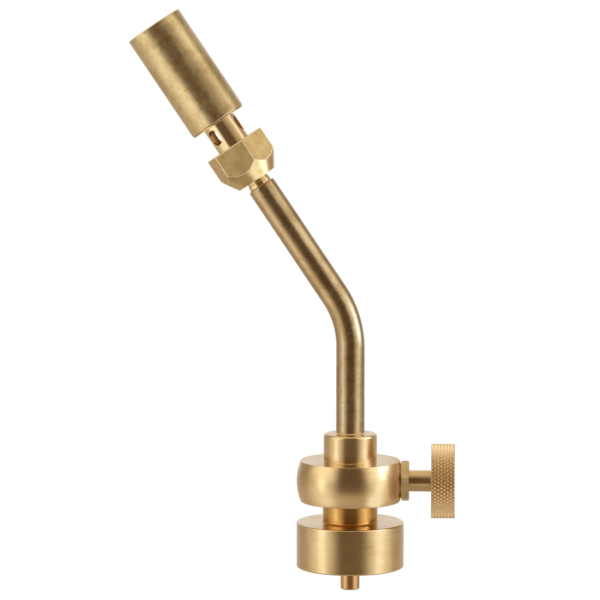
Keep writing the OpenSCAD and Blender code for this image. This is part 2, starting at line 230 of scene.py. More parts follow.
def add_camera():
    data = bpy.data.cameras.new("camera")
    data.sensor_width = SENSOR_MM
    data.lens = FOCAL_PX / IMAGE_PX * SENSOR_MM
    data.clip_start, data.clip_end = CAMERA_CLIP
    camera = bpy.data.objects.new("camera", data)
    camera.location = (CAMERA_AIM + direction(CAMERA_YAW, CAMERA_PITCH) * CAMERA_DISTANCE) * MM
    camera.rotation_euler = (math.radians(90) - CAMERA_PITCH, 0, CAMERA_YAW)
    bpy.context.scene.collection.objects.link(camera)
    bpy.context.scene.camera = camera


# ---------------------------------------------------------------------------
# Mesh helpers
# ---------------------------------------------------------------------------
ON_AXIS = 1e-6
MERGE = 0.0004
ARC_STEP = math.radians(12)


def link(obj):
    bpy.context.scene.collection.objects.link(obj)
    return obj


def mesh_object(name, points, faces):
    """An object from points in millimetres."""
    data = bpy.data.meshes.new(name)
    data.from_pydata((np.array(points) * MM).tolist(), [], faces)
    data.update()
    return link(bpy.data.objects.new(name, data))


def tidy(obj):
    """Joins points that coincide and turns all faces outwards."""
    bm = bmesh.new()
    bm.from_mesh(obj.data)
    bmesh.ops.remove_doubles(bm, verts=bm.verts, dist=MERGE * MM)
    bmesh.ops.recalc_face_normals(bm, faces=bm.faces)
    bm.to_mesh(obj.data)
    bm.free()
    return obj


def circle(count, turn=0.0):
    """Evenly spaced angles, once round."""
    return [turn + 2 * math.pi * k / count for k in range(count)]


def rounded(outline):
    """A closed outline of (r, z) or (r, z, fillet) corners, each fillet drawn as an arc."""
    out = []
    count = len(outline)
    for i, corner in enumerate(outline):
        here = Vector(corner[:2])
        fillet = corner[2] if len(corner) > 2 else 0
        if not fillet:
            out.append(tuple(here))
            continue
        back = (Vector(outline[i - 1][:2]) - here).normalized()
        ahead = (Vector(outline[(i + 1) % count][:2]) - here).normalized()
        half = math.acos(max(-1, min(1, back.dot(ahead)))) / 2
        run = fillet / math.tan(half)
        centre = here + (back + ahead).normalized() * (fillet / math.sin(half))
        start, end = here + back * run - centre, here + ahead * run - centre
        sweep = math.atan2(start.cross(end), start.dot(end))
        steps = max(2, math.ceil(abs(sweep) / ARC_STEP))
        for k in range(steps + 1):
            a = sweep * k / steps
            turned = Vector((start.x * math.cos(a) - start.y * math.sin(a),
                             start.x * math.sin(a) + start.y * math.cos(a)))
            out.append(tuple(centre + turned))
    return out


def band(first, second):
    """The faces between two rings of points."""
    count = len(first)
    return [[first[k], first[(k + 1) % count], second[(k + 1) % count], second[k]]
            for k in range(count)]


def spin(name, outline, segments=128, radial=None):
    """A closed solid of revolution about Z. radial(r, z, angle) may change a ring's radius."""
    rings, points = [], []
    angles = np.arange(segments) * 2 * math.pi / segments
    for r, z in rounded(outline):
        if r < ON_AXIS:
            rings.append([len(points)] * segments)
            points.append((0, 0, z))
            continue
        radii = np.full(segments, r) if radial is None else radial(r, z, angles)
        rings.append(list(range(len(points), len(points) + segments)))
        points += zip(radii * np.cos(angles), radii * np.sin(angles), np.full(segments, z))
    faces = []
    for a, b in zip(rings, rings[1:] + rings[:1]):
        if a[0] != a[1] or b[0] != b[1]:
            faces += [list(dict.fromkeys(corners)) for corners in band(a, b)]
    return tidy(mesh_object(name, points, faces))


def prism(name, corners, low, high):
    """A straight solid over a polygon of (x, y) corners."""
    count = len(corners)
    points = [(x, y, z) for z in (low, high) for x, y in corners]
    bottom, top = list(range(count)), list(range(count, 2 * count))
    return tidy(mesh_object(name, points, [bottom[::-1], top] + band(bottom, top)))


def hex_corners(across_flats, turn):
    r = across_flats / 2 / HEX_SHARE
    return [(r * math.cos(a), r * math.sin(a)) for a in circle(6, turn)]


def apply_modifiers(obj):
    """Turns the object's modified shape into its own mesh."""
    depsgraph = bpy.context.evaluated_depsgraph_get()
    shape = bpy.data.meshes.new_from_object(obj.evaluated_get(depsgraph))
    obj.modifiers.clear()
    obj.data = shape
    return obj


def boolean(obj, tool, operation):
    """Cuts, meets or joins obj with tool, and removes the tool."""
    modifier = obj.modifiers.new("cut", "BOOLEAN")
    modifier.operation = operation
    modifier.solver = "EXACT"
    modifier.object = tool
    apply_modifiers(obj)
    bpy.data.objects.remove(tool)
    return obj


def bevel(obj, width, angle=30, segments=3):
    """Breaks the edges sharper than the angle; the new faces take the last of the materials."""
    modifier = obj.modifiers.new("edges", "BEVEL")
    modifier.width = width * MM
    modifier.segments = segments
    modifier.limit_method = "ANGLE"
    modifier.angle_limit = math.radians(angle)
    modifier.use_clamp_overlap = True
    modifier.material = len(obj.data.materials) - 1
    return apply_modifiers(obj)


def smooth(obj, angle):
    """Smooth shading, but for edges sharper than the angle."""
    obj.data.shade_smooth()
    obj.data.set_sharp_from_angle(angle=math.radians(angle))


def shade(obj, angle=35):
    """Smooth shading in which large faces keep their own normal."""
    smooth(obj, angle)
    modifier = obj.modifiers.new("normals", "WEIGHTED_NORMAL")
    modifier.mode = "FACE_AREA"
    modifier.weight = 80
    modifier.keep_sharp = True
    return apply_modifiers(obj)


def piece(obj, matrix, body, material, slot, *nodes):
    """Puts a finished piece in its frame, on its body, in place of its CAD node."""
    obj.matrix_world = matrix
    if not obj.data.materials:
        obj.data.materials.append(material)
    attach(obj, body)
    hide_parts(*nodes)
    return obj


# ---------------------------------------------------------------------------
# Materials
# ---------------------------------------------------------------------------
BRASS = (0.80, 0.56, 0.27)
BRASS_STEM = (0.74, 0.50, 0.24)
BRASS_TUBE = (0.56, 0.39, 0.19)
BRASS_FLAME = (0.72, 0.525, 0.25)
BRASS_HEX = (0.735, 0.50, 0.205)
BRASS_GLAND = (0.64, 0.455, 0.20)
BRASS_BRIGHT = (0.88, 0.66, 0.34)
# Paler brass painted on edges as a highlight, where a rounded edge would catch the light
EDGE_HIGHLIGHT_PAINT = (0.96, 0.76, 0.46)
BRASS_KNURL = (0.85, 0.575, 0.26)
COPPERY = (0.75, 0.415, 0.17)
SINTERED = (0.40, 0.26, 0.13)
STEEL = (0.55, 0.55, 0.55)
RUBBER = (0.02, 0.02, 0.02)
PTFE = (0.80, 0.79, 0.76)

# Patches of a finish: the noise value up to which they are dark and that from which they are
# bright, and what is left of red, green and blue where they are dark
TURNED_PATCHES = (0.35, 0.62), (0.86, 0.80, 0.70)
DRAWN_PATCHES = (0.34, 0.58), (0.72, 0.64, 0.52)
MILLED_PATCHES = (0.36, 0.56), (0.84, 0.78, 0.66)
PLAIN_PATCHES = (0.35, 0.6), (0.85, 0.85, 0.85)
SOFT_PATCHES = (0.35, 0.65), (0.8, 0.8, 0.8)
SPECK_TINT = (0.62, 0.48, 0.34)
# Painted shade and reddish inter-reflection, multiplied into a groove such as the body's neck
PAINTED_GROOVE_SHADE = (0.88, 0.69, 0.39)
# Painted shade and reddish inter-reflection, multiplied into the walls inside a bore
PAINTED_BORE_SHADE = (1.00, 0.80, 0.60)

# Roughness that is added in a bore and where a fitting was tightened, or taken off a turned cone
BORE_DULL = 0.3
WEAR_DULL = 0.25
CONE_GLOSS = 0.13

# Scales of noise, in waves for each millimetre
RING_SCALE, FINE_RING_SCALE, TURNED_DRIFT_SCALE = 2.2, 11.0, 0.16
DRAWN_GRAIN_SCALE, DRAWN_DRIFT_SCALE, DRAWN_MARK_SCALE = 0.7, 0.12, 0.8
SPECK_SCALE, WAVE_SCALE = 1.6, 0.35
MILLED_GRAIN_SCALE, STAIN_SCALE = 3.5, 0.35
PLAIN_SCALE, SOFT_SCALE = 3.0, 5.0

# Heights of bumps, in millimetres
GRAIN_HEIGHT = 0.0005
WAVE_HEIGHT = 0.03
MILLED_HEIGHT = 0.008
SOFT_HEIGHT = 0.01

RING_WANDER = 0.9                   # how fast a turning line changes on its way round
RING_SHARE, TURNED_DRIFT_SHARE, DRAWN_DRIFT_SHARE = 0.6, 0.7, 0.75
SPECK_SPAN = (0.68, 0.76)
MILLED_ROUGH = (0.34, 0.44)
CONE_FACING = 0.55, 0.25            # the cone's slope along the axis, and how far off still counts
NOISE_SPAN = (0.3, 0.7)
QUARTER_TURN = 0.25


class Nodes:
    """Short calls for adding nodes to one tree."""

    def __init__(self, tree):
        self.tree = tree

    def node(self, kind, inputs=(), **settings):
        made = self.tree.nodes.new(kind)
        for key, value in settings.items():
            setattr(made, key, value)
        for key, value in dict(inputs).items():
            if isinstance(value, bpy.types.NodeSocket):
                self.tree.links.new(value, made.inputs[key])
            else:
                made.inputs[key].default_value = value
        return made

    def maths(self, operation, *values):
        return self.node("ShaderNodeMath", enumerate(values), operation=operation).outputs[0]

    def vector(self, operation, *values):
        return self.node("ShaderNodeVectorMath", enumerate(values), operation=operation).outputs[0]

    def coordinates(self, kind):
        return self.node("ShaderNodeTexCoord").outputs[kind]

    def split(self, vector):
        """The x, y and z of a vector."""
        return self.node("ShaderNodeSeparateXYZ", {0: vector}).outputs

    def join(self, *values):
        return self.node("ShaderNodeCombineXYZ", enumerate(values)).outputs[0]

    def rise(self, value, low, high, **settings):
        """0 up to low and 1 from high."""
        made = self.node("ShaderNodeMapRange", {0: value, 1: low, 2: high}, **settings)
        return made.outputs[0]

    def smooth_rise(self, value, low, high):
        return self.rise(value, low, high, interpolation_type="SMOOTHSTEP")

    def mix(self, share, first, second, blend_type="MIX"):
        """The first colour where the share is 0; where it is 1, the second or their product."""
        ends = [c if isinstance(c, bpy.types.NodeSocket) else (*c, 1) for c in (first, second)]
        made = self.node("ShaderNodeMix", {0: share, 6: ends[0], 7: ends[1]}, data_type="RGBA",
                         blend_type=blend_type)
        return made.outputs[2]


class Graph(Nodes):
    """The nodes of one material."""

    def __init__(self, name):
        self.material = bpy.data.materials.new(name)
        self.material.use_nodes = True
        super().__init__(self.material.node_tree)
        self.shader = self.tree.nodes["Principled BSDF"]

    def position(self):
        """The point in the piece's own frame, in millimetres."""
        return self.vector("MULTIPLY", self.coordinates("Object"), (1 / MM,) * 3)

    def radius(self, place):
        """How far a split point is from the piece's axis."""
        squares = [self.maths("POWER", place[k], 2.0) for k in (0, 1)]
        return self.maths("SQRT", self.maths("ADD", *squares))

    def noise(self, place, scale, detail=3.0, roughness=0.55):
        inputs = {"Vector": place, "Scale": scale, "Detail": detail, "Roughness": roughness}
        return self.node("ShaderNodeTexNoise", inputs).outputs[0]

    def turning_lines(self, place, scale):
        """Noise that runs in rings round Z, on sides and on end faces alike."""
        x, y, z = self.split(place)
        flat = self.join(x, y)
        length = self.node("ShaderNodeVectorMath", {0: flat}, operation="LENGTH").outputs["Value"]
        way = self.split(self.vector("NORMALIZE", flat))
        rings = self.join(self.maths("MULTIPLY", length, scale), self.maths("MULTIPLY", z, scale),
                          self.maths("MULTIPLY", way[0], RING_WANDER))
        inputs = {"Vector": rings, "W": self.maths("MULTIPLY", way[1], RING_WANDER),
                  "Scale": 1.0, "Detail": 3.0, "Roughness": 0.6}
        return self.node("ShaderNodeTexNoise", inputs, noise_dimensions="4D").outputs[0]

    def blend(self, first, second, share):
        """A share of the first noise with the rest from the second."""
        return self.maths("ADD", self.maths("MULTIPLY", first, share),
                          self.maths("MULTIPLY", second, 1 - share))

    def spread(self, value, low, high):
        """Maps noise from its usual span on to low and high."""
        inputs = {0: value, 1: NOISE_SPAN[0], 2: NOISE_SPAN[1], 3: low, 4: high}
        return self.node("ShaderNodeMapRange", inputs).outputs[0]

    def tones(self, value, colour, patches):
        """The colour with its dark patches, placed by the value of a noise."""
        made = self.node("ShaderNodeValToRGB", {0: value})
        span, shade = patches
        dark = tuple(c * s for c, s in zip(colour, shade))
        for element, place, tone in zip(made.color_ramp.elements, span, (dark, colour)):
            element.position = place
            element.color = (*tone, 1)
        return made.outputs[0]

    def tinted(self, tone, share, tint):
        """The tone, multiplied by a tint where the share is 1."""
        return self.mix(share, tone, tint, blend_type="MULTIPLY")

    def bump(self, height, distance, normal=None):
        inputs = {"Height": height, "Distance": distance * MM, "Strength": 1.0}
        if normal is not None:
            inputs["Normal"] = normal
        return self.node("ShaderNodeBump", inputs).outputs[0]

    def set(self, **inputs):
        """Sets or links the shader's sockets."""
        for key, value in inputs.items():
            socket = self.shader.inputs[key.replace("_", " ")]
            if isinstance(value, bpy.types.NodeSocket):
                self.tree.links.new(value, socket)
            else:
                socket.default_value = value
        return self.material


def turned_brass(name, colour, rough, stretch=0.3, depth=0.006, groove=None, bore=None, wear=None):
    """Lathe-turned metal: rings round the piece's axis, with a slow drift of tone.

    Between the two heights of a groove, and inside the radius of a bore, it is painted redder and
    darker: painted shade and inter-reflection between facing brass walls. A bore is duller too.
    From one x of its wear to the other it grows dull, where a fitting was tightened.
    """
    g = Graph(name)
    place = g.position()
    rings = g.turning_lines(place, RING_SCALE)
    both = g.blend(rings, g.turning_lines(place, FINE_RING_SCALE), RING_SHARE)
    drift = g.noise(place, TURNED_DRIFT_SCALE, detail=4)
    tone = g.tones(g.blend(drift, rings, TURNED_DRIFT_SHARE), colour, TURNED_PATCHES)
    roughness = g.spread(both, *rough)
    split = g.split(place)
    # Painted shade: the groove between its two heights is tinted darker and redder
    if groove:
        off = g.maths("ABSOLUTE", g.maths("SUBTRACT", split[2], sum(groove) / 2))
        tone = g.tinted(tone, g.maths("LESS_THAN", off, (groove[1] - groove[0]) / 2), PAINTED_GROOVE_SHADE)
    # Painted shade: inside the bore's radius the tone is tinted darker and redder, and it is
    # rougher
    if bore:
        inside = g.maths("LESS_THAN", g.radius(split), bore)
        tone = g.tinted(tone, inside, PAINTED_BORE_SHADE)
        roughness = g.maths("ADD", roughness, g.maths("MULTIPLY", inside, BORE_DULL))
    if wear:
        near = g.rise(split[0], *wear)
        roughness = g.maths("ADD", roughness, g.maths("MULTIPLY", near, WEAR_DULL))
    tangent = g.node("ShaderNodeTangent", direction_type="RADIAL", axis="Z").outputs[0]
    return g.set(Base_Color=tone, Metallic=1.0, Roughness=roughness, Anisotropic=stretch,
                 Anisotropic_Rotation=QUARTER_TURN, Tangent=tangent, Normal=g.bump(both, depth))


def drawn_brass(name, colour, rough):
    """Drawn tube: nearly smooth, with a few small dark specks and a patchy drift of tone."""
    g = Graph(name)
    place = g.position()
    grain = g.noise(place, DRAWN_GRAIN_SCALE, detail=2)
    drift = g.noise(place, DRAWN_DRIFT_SCALE, detail=3)
    marks = g.noise(place, DRAWN_MARK_SCALE, detail=1)
    tone = g.tones(g.blend(drift, marks, DRAWN_DRIFT_SHARE), colour, DRAWN_PATCHES)
    specks = g.rise(g.noise(place, SPECK_SCALE, detail=1), *SPECK_SPAN)
    tone = g.tinted(tone, specks, SPECK_TINT)
    waves = g.noise(place, WAVE_SCALE, detail=1)
    normal = g.bump(waves, WAVE_HEIGHT, g.bump(grain, GRAIN_HEIGHT))
    return g.set(Base_Color=tone, Metallic=1.0, Roughness=g.spread(grain, *rough), Normal=normal)


def milled_brass(name, colour, cone=None):
    """Hexagon bar: matt flats with faint cloudy stains, and a smoother turned cone.

    A cone, as its low end, radius there and rise, gets a painted highlight in paler brass on the
    flats along their edge with the cone.
    """
    g = Graph(name)
    place = g.position()
    grain = g.noise(place, MILLED_GRAIN_SCALE, detail=4, roughness=0.7)
    stain = g.noise(place, STAIN_SCALE, detail=5, roughness=0.6)
    tone = g.tones(stain, colour, MILLED_PATCHES)
    facing = g.maths("ABSOLUTE", g.split(g.coordinates("Normal"))[2])
    middle, reach = CONE_FACING
    off = g.maths("ABSOLUTE", g.maths("SUBTRACT", facing, middle))
    turned = g.maths("LESS_THAN", off, reach)
    matt = g.spread(grain, *MILLED_ROUGH)
    roughness = g.maths("SUBTRACT", matt, g.maths("MULTIPLY", turned, CONE_GLOSS))
    if cone:
        low, start, slope = cone
        split = g.split(place)
        # Painted highlight: paler brass on the flats along their edge with the cone
        height = g.maths("SUBTRACT", split[2], low)
        surface = g.maths("ADD", g.maths("MULTIPLY", height, slope), start)
        edge = g.maths("SUBTRACT", surface, EDGE_HIGHLIGHT_WIDTH * slope)
        near = g.maths("GREATER_THAN", g.radius(split), edge)
        edge_highlight = g.maths("MULTIPLY", near, g.maths("SUBTRACT", 1.0, turned))
        tone = g.mix(edge_highlight, tone, EDGE_HIGHLIGHT_PAINT)
    return g.set(Base_Color=tone, Metallic=1.0, Roughness=roughness,
                 Normal=g.bump(grain, MILLED_HEIGHT))


def plain_metal(name, colour, roughness, depth=0.002):
    """Small bright metal parts with a little unevenness."""
    g = Graph(name)
    grain = g.noise(g.position(), PLAIN_SCALE)
    rough = g.spread(grain, roughness - 0.03, roughness + 0.05)
    return g.set(Base_Color=g.tones(grain, colour, PLAIN_PATCHES), Metallic=1.0,
                 Roughness=rough, Normal=g.bump(grain, depth))


def soft_material(name, colour, roughness):
    """Rubber or plastic with a dull, slightly uneven surface."""
    g = Graph(name)
    grain = g.noise(g.position(), SOFT_SCALE)
    return g.set(Base_Color=g.tones(grain, colour, SOFT_PATCHES), Metallic=0.0,
                 Roughness=roughness, Normal=g.bump(grain, SOFT_HEIGHT))


POLISHED = {"rough": (0.12, 0.2), "stretch": 0.2, "depth": 0.002}
MATERIALS = {
    "turned": turned_brass("turned_brass", BRASS, rough=(0.18, 0.27), stretch=0.15),
    # The body's neck, between the coupling and the bulb, gets painted shade and inter-reflection
    "body": turned_brass("turned_brass_body_painted_neck_shade", BRASS, rough=(0.19, 0.28),
                         groove=(COUPLING_H, NECK_TOP), wear=WEAR_X),
    "tube": drawn_brass("drawn_brass_tube", BRASS_TUBE, rough=(0.20, 0.30)),
    "flame": drawn_brass("drawn_brass_flame_tube", BRASS_FLAME, rough=(0.26, 0.36)),
    "hex": milled_brass("milled_brass", BRASS_HEX, cone=(NUT_FROM, NUT_CONE_R, NUT_CONE_RISE)),
    "gland": milled_brass("milled_brass_gland", BRASS_GLAND),
    # Paler brass on the burner nut's bevels: a painted highlight along its edges
    "edge": plain_metal("painted_edge_highlight", EDGE_HIGHLIGHT_PAINT, 0.5),
    "bright": turned_brass("polished_brass", BRASS_BRIGHT, **POLISHED),
    # The mixing tube's bore, seen through its slots, gets painted shade and inter-reflection
    "mixer": turned_brass("polished_brass_tube_painted_bore_shade", BRASS_BRIGHT, bore=MIX_R - MIX_SKIN, **POLISHED),
    "stem": turned_brass("turned_brass_stem", BRASS_STEM, rough=(0.18, 0.26), depth=0.0015),
    "knurl": plain_metal("knurled_brass", BRASS_KNURL, 0.42),
    "probe": turned_brass("coppery_brass", COPPERY, rough=(0.25, 0.35)),
    "braze": plain_metal("braze", BRASS_BRIGHT, 0.25, depth=0.01),
    "sinter": plain_metal("sintered_bronze", SINTERED, 0.55, depth=0.05),
    "steel": turned_brass("turned_steel", STEEL, rough=(0.25, 0.35)),
    "rubber": soft_material("nitrile_rubber", RUBBER, 0.55),
    "ptfe": soft_material("ptfe", PTFE, 0.45),
}


# ---------------------------------------------------------------------------
# Coupling, probe and gasket
# ---------------------------------------------------------------------------
def thread_radius(r, z, angle):
    """The female thread: a groove that climbs one pitch in each turn, to the right."""
    low, high = THREAD_SPAN
    if abs(r - THREAD_BORE_R) > HAIR / 10 or not low < z < high:
        return np.full(len(angle), r)
    off = np.abs((z / THREAD_PITCH - angle / (2 * math.pi)) % 1 - 0.5)
    groove = np.clip((THREAD_MOUTH - off) / (THREAD_MOUTH - THREAD_ROOT), 0, 1)
    return r + (THREAD_R - THREAD_BORE_R) * groove


def make_coupling():
    low, high = THREAD_SPAN
    top = high - HAIR
    steps = math.ceil((high - low) / THREAD_PITCH * THREAD_STEPS)
    outline = [(COUPLING_R, 0, COUPLING_EDGE), (COUPLING_R, COUPLING_H, COUPLING_EDGE),
               (SPIGOT_R, COUPLING_H), (SPIGOT_R, CUP_FLOOR), (RELIEF_R, CUP_FLOOR),
               (RELIEF_R, high)]
    outline += [(THREAD_BORE_R, top + (low - top) * k / steps) for k in range(steps)]
    outline += [(THREAD_BORE_R, low), (LEAD_R, 0, LEAD_ROUND)]
    obj = spin("coupling", outline, segments=256, radial=thread_radius)
    piece(shade(obj), UPRIGHT, "burner", MATERIALS["turned"], "brass_turned", "cylinder_coupling")


def make_probe():
    r, bore = PROBE_R, PROBE_BORE_R
    tip, end = PROBE_LOW.z, PROBE_HIGH.z
    low, high = PROBE_FLANGE
    outline = [(bore, tip, FINE_ROUND), (r, tip, PROBE_EDGE), (r, low),
               (PROBE_FLANGE_R, low, FINE_ROUND), (PROBE_FLANGE_R, high), (r, high), (r, end),
               (bore, end)]
    obj = spin("probe", outline)
    half, reach = PROBE_SLOT_W / 2, PROBE_SLOT_REACH
    corners = [(-reach, -half), (reach, -half), (reach, half), (-reach, half)]
    boolean(obj, prism("slot", corners, tip - PAST, tip + PROBE_SLOT_DEPTH), "DIFFERENCE")
    piece(shade(obj), UPRIGHT, "burner", MATERIALS["probe"], "probe_bronze", "valve_probe")


def make_gasket():
    low, high, r = GASKET_LOW.z, GASKET_HIGH.z, GASKET_HIGH.x
    outline = [(PROBE_R, low, FINE_ROUND), (r, low, GASKET_EDGE), (r, high), (PROBE_R, high)]
    obj = spin("gasket", outline, segments=160)
    piece(shade(obj), UPRIGHT, "burner", MATERIALS["rubber"], "rubber", "inlet_gasket")


# ---------------------------------------------------------------------------
# Valve body with gland nut, stem and knob
# ---------------------------------------------------------------------------
def bulb_outline():
    """The bulb's side, as points up a ball between its two flat ends."""
    reach = math.asin((BULB_TOP - VALVE_Z) / BULB_R)
    angles = [reach * (2 * k / BULB_STEPS - 1) for k in range(1, BULB_STEPS)]
    return [(BULB_R * math.cos(a), VALVE_Z + BULB_R * math.sin(a)) for a in angles]


def cutting_disc(name, r, low, high, segments=128):
    """A round tool on the axis."""
    return spin(name, [(0, low), (r, low), (r, high), (0, high)], segments)


def make_valve_body():
    end_r = math.sqrt(BULB_R ** 2 - (BULB_TOP - VALVE_Z) ** 2)
    top = BODY_HIGH.z
    outline = [(PROBE_R, CUP_FLOOR), (SPIGOT_R, CUP_FLOOR), (SPIGOT_R, COUPLING_H),
               (NECK_R + NECK_FOOT, COUPLING_H),
               (NECK_R, COUPLING_H + NECK_FOOT_H, NECK_FOOT_ROUND), (NECK_R, NECK_TOP, ROUND),
               (end_r, NECK_TOP, ROUND)]
    outline += bulb_outline()
    outline += [(end_r, BULB_TOP, ROUND), (COLLAR_R, BULB_TOP, ROUND),
                (COLLAR_R, top, COLLAR_EDGE), (TUBE_R + BRAZE_SEAT, top, FINE_ROUND / 2),
                (TUBE_R, top - BRAZE_SEAT), (TUBE_R, TUBE_FOOT), (PROBE_R, TUBE_FOOT)]
    obj = spin("body", outline, segments=320)
    seat = cutting_disc("seat", SPOT_R, SPOT_X, BULB_R + PAST, segments=96)
    seat.data.transform(ON_VALVE)
    boolean(obj, seat, "DIFFERENCE")
    piece(shade(obj, angle=15), UPRIGHT, "burner", MATERIALS["body"], "brass_turned", "valve_body")


def make_gland_nut():
    low, high = GLAND_LOW.x, GLAND_HIGH.x
    face = SPOT_X + GLAND_FACE_H
    nut = prism("gland", hex_corners(GLAND_AF, GLAND_TURN), face, high)
    corner_r = GLAND_AF / 2 / HEX_SHARE
    top = high + GLAND_CLEAR
    cone = spin("cone", [(0, face - PAST), (corner_r + PAST, face - PAST),
                         (corner_r + PAST, high - GLAND_CHAMFER_L),
                         (corner_r - GLAND_CHAMFER_R, top), (0, top)])
    boolean(nut, cone, "INTERSECT")
    shank = spin("shank", [(0, low), (GLAND_SHANK_R, low), (GLAND_SHANK_R, SPOT_X),
                           (GLAND_FACE_R, SPOT_X), (GLAND_FACE_R, face + HAIR),
                           (0, face + HAIR)])
    boolean(nut, shank, "UNION")
    boolean(nut, cutting_disc("bore", GLAND_BORE_R, low - PAST, high + PAST), "DIFFERENCE")
    bevel(nut, FINE_ROUND)
    piece(shade(nut), ON_VALVE, "burner", MATERIALS["gland"], "brass_hex", "gland_nut")


def make_knob():
    """Knob with a diamond-knurled rim: rows of small pyramids with flattened tops."""
    low, high = KNOB_LOW.x, KNOB_HIGH.x
    columns = 2 * KNOB_TEETH
    step_angle = 2 * math.pi / columns
    step_z = (high - low - 2 * KNOB_EDGE) / KNOB_ROWS
    floor_r = KNOB_R - KNURL_DEPTH
    points, index = [], {}

    def vertex(i, j, r):
        key = (round(i % columns, 3), round(j, 3), round(r, 4))
        if key not in index:
            a = i * step_angle
            index[key] = len(points)
            points.append((r * math.cos(a), r * math.sin(a), low + KNOB_EDGE + j * step_z))
        return index[key]

    faces, rim_low, rim_high = [], [], []
    spots = [(1, 0), (0, 1), (-1, 0), (0, -1)]
    diamonds = [(i, j) for j in range(KNOB_ROWS + 1) for i in range(j % 2, columns, 2)]
    for i, j in diamonds:
        inside = [s for s in spots if 0 <= j + s[1] <= KNOB_ROWS]
        whole = len(inside) == len(spots)
        if not whole:
            order = next(k for k, s in enumerate(spots) if s not in inside)
            inside = spots[order + 1:] + spots[:order]
        base = [vertex(i + di, j + dj, floor_r) for di, dj in inside]
        top = [vertex(i + di * KNURL_FLAT, j + dj * KNURL_FLAT, KNOB_R) for di, dj in inside]
        faces.append(top)
        sides = band(base, top)
        faces += sides if whole else sides[:2]
        if not whole:
            rim = rim_low if j == 0 else rim_high
            rim.append((i, vertex(i - 1, j, floor_r), vertex(i - KNURL_FLAT, j, KNOB_R),
                        vertex(i + KNURL_FLAT, j, KNOB_R)))

    def close(rim, profile):
        """Closes one end of the rim with rings of the same number of points."""
        chain, angles = [], []
        for i, low_end, left, right in sorted(rim):
            chain += [low_end, left, right]
            angles += [(i + off) * step_angle for off in (-1, -KNURL_FLAT, KNURL_FLAT)]
        for r, z in profile:
            ring = list(range(len(points), len(points) + len(angles)))
            points.extend((r * math.cos(a), r * math.sin(a), z) for a in angles)
            faces.extend(band(chain, ring))
            chain = ring
        return chain

    dish, sink, socket = high - DISH_DEPTH, high - SINK_DEPTH, high - SOCKET_END
    inner = close(rim_low, [(KNOB_R - KNOB_EDGE, low), (SOCKET_R, low), (SOCKET_R, socket),
                            (SCREW_HOLE_R, socket)])
    outer = close(rim_high, [(KNOB_R - KNOB_EDGE, high), (DISH_OUT, high),
                             (DISH_OUT - DISH_SLOPE, dish), (DISH_IN + DISH_SLOPE, dish),
                             (DISH_IN, high), (SINK_R + SINK_EDGE, high),
                             (SINK_R, high - SINK_EDGE), (SINK_R, sink), (SCREW_HOLE_R, sink)])
    faces += band(inner, outer)
    obj = tidy(mesh_object("knob_wheel", points, faces))
    smooth(obj, angle=22)
    piece(obj, ON_VALVE, "knob", MATERIALS["knurl"], "brass_knurled", "knob")


def make_stem():
    low, shoulder, end = STEM_LOW.x, KNOB_LOW.x, STEM_HIGH.x
    start, stop = STEM_THREAD
    outline = [(0, low), (STEM_NOSE_R - STEM_CHAMFER, low), (STEM_NOSE_R, low + STEM_CHAMFER),
               (STEM_NOSE_R, start), (STEM_THREAD_R, start + STEM_CHAMFER),
               (STEM_THREAD_R, stop), (STEM_R, stop + STEM_CHAMFER), (STEM_R, shoulder),
               (STEM_END_R, shoulder), (STEM_END_R, end), (0, end)]
    obj = spin("stem", outline)
    piece(shade(obj), ON_VALVE, "knob", MATERIALS["stem"], "brass_turned", "valve_stem")


# ---------------------------------------------------------------------------
# Gas tube and burner head
# ---------------------------------------------------------------------------
def tube_stations():
    """Points up the tube's centre line: (centre, direction angle, share of the bend)."""
    foot = [(Vector((0, 0, z)), 0.0, 0.0) for z in FOOT_HEIGHTS]
    bend = [(bend_point(LEAN * k / BEND_STEPS), LEAN * k / BEND_STEPS,
             math.sin(math.pi * k / BEND_STEPS)) for k in range(BEND_STEPS + 1)]
    run = [(TUBE_END + RUN_WAY * t, LEAN, 0.0) for t in RUN_PLACES]
    return foot + bend + run


def make_gas_tube():
    segments = 96
    points, faces = [], []
    stations = tube_stations()

    def ring(station, r):
        centre, angle, share = station
        side = Vector((math.cos(angle), 0, math.sin(angle)))
        wide, flat = r * (1 + BEND_SQUASH * share), r * (1 - BEND_SQUASH * share)
        start = len(points)
        points.extend(centre + side * (flat * math.cos(a)) + Vector((0, wide * math.sin(a), 0))
                      for a in circle(segments))
        return list(range(start, start + segments))

    rings = [ring(s, TUBE_R) for s in stations[:-1]]
    rings += [ring(stations[-1], TUBE_R - TUBE_LIP), ring(stations[-1], TUBE_BORE_R)]
    rings += [ring(s, TUBE_BORE_R) for s in reversed(stations[:-1])]
    for a, b in zip(rings, rings[1:] + rings[:1]):
        faces += band(a, b)
    obj = tidy(mesh_object("tube", [tuple(p) for p in points], faces))
    piece(shade(obj), UPRIGHT, "burner", MATERIALS["tube"], "brass_tube", "gas_tube")


def make_tube_braze():
    """The ring fills its seat in the collar and climbs the tube a little."""
    top = BODY_HIGH.z
    inner = TUBE_R - 2 * HAIR
    outline = [(inner, top - BRAZE_SEAT), (TUBE_R + BRAZE_OUT, top - BRAZE_DIP, FINE_ROUND),
               (TUBE_R + BRAZE_SHOULDER, top + BRAZE_SHOULDER_H, BRAZE_SHOULDER_ROUND),
               (inner, top + BRAZE_CLIMB)]
    obj = spin("braze_ring", outline)
    piece(shade(obj, angle=60), UPRIGHT, "burner", MATERIALS["braze"], "braze", "tube_braze")


